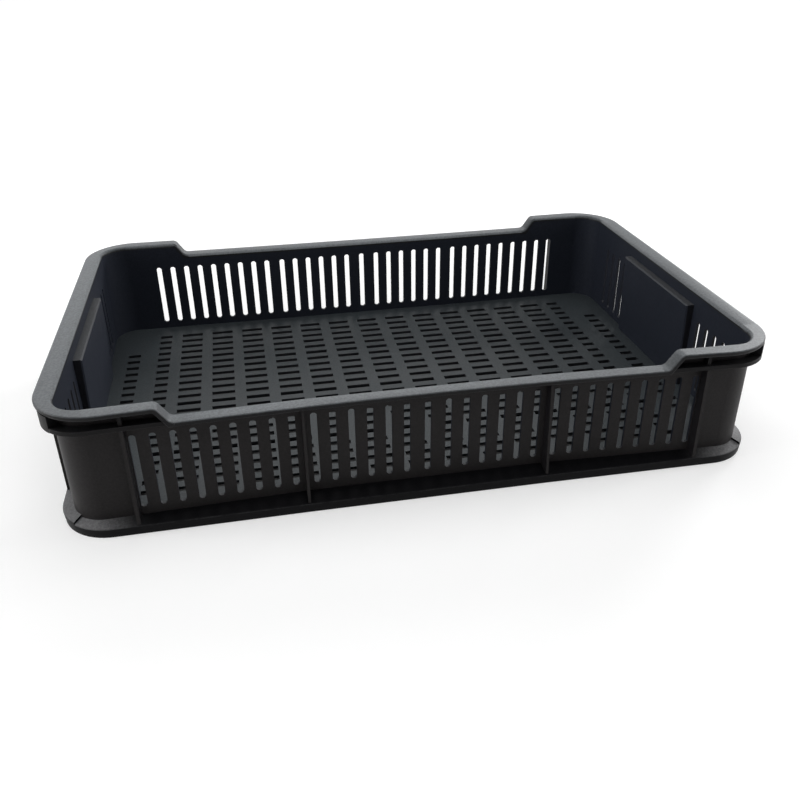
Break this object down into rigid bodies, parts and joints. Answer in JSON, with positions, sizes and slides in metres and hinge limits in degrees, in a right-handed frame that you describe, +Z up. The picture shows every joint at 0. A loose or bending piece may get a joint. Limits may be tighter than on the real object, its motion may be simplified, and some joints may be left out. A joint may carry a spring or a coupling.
{
  "type": "vegetable crate",
  "caption": "Shallow black stackable harvest crate with slotted walls and floor, stepped rim, raised corners, end grips and an outward base flange.",
  "frame": {"origin": "centre of the footprint, on the plane the crate stands on", "axes": "+X along the long sides, +Y from the front long side to the back one, +Z up out of the crate's mouth"},
  "size_m": [0.6, 0.3899, 0.111],
  "materials": {
    "black_plastic": "satin moulded"
  },
  "bodies": {
    "root": {"back_base_flange": "black_plastic", "back_left_corner": "black_plastic", "back_left_corner_rib": "black_plastic", "back_left_corner_rim": "black_plastic", "back_left_end_rib": "black_plastic", "back_left_ledge": "black_plastic", "back_left_middle_rib": "black_plastic", "back_left_rim_gusset": "black_plastic", "back_left_shoulder": "black_plastic", "back_middle_rim": "black_plastic", "back_right_corner": "black_plastic", "back_right_corner_rib": "black_plastic", "back_right_corner_rim": "black_plastic", "back_right_end_rib": "black_plastic", "back_right_ledge": "black_plastic", "back_right_middle_rib": "black_plastic", "back_right_rim_gusset": "black_plastic", "back_right_shoulder": "black_plastic", "back_wall": "black_plastic", "floor_grid": "black_plastic", "floor_ribs": "black_plastic", "front_base_flange": "black_plastic", "front_left_corner": "black_plastic", "front_left_corner_rib": "black_plastic", "front_left_corner_rim": "black_plastic", "front_left_end_rib": "black_plastic", "front_left_ledge": "black_plastic", "front_left_middle_rib": "black_plastic", "front_left_rim_gusset": "black_plastic", "front_left_shoulder": "black_plastic", "front_middle_rim": "black_plastic", "front_right_corner": "black_plastic", "front_right_corner_rib": "black_plastic", "front_right_corner_rim": "black_plastic", "front_right_end_rib": "black_plastic", "front_right_ledge": "black_plastic", "front_right_middle_rib": "black_plastic", "front_right_rim_gusset": "black_plastic", "front_right_shoulder": "black_plastic", "front_wall": "black_plastic", "left_base_flange": "black_plastic", "left_end_rim": "black_plastic", "left_end_skirt": "black_plastic", "left_end_wall_back": "black_plastic", "left_end_wall_front": "black_plastic", "left_grip_panel": "black_plastic", "right_base_flange": "black_plastic", "right_end_rim": "black_plastic", "right_end_skirt": "black_plastic", "right_end_wall_back": "black_plastic", "right_end_wall_front": "black_plastic", "right_grip_panel": "black_plastic"}
  },
  "joints": []
}
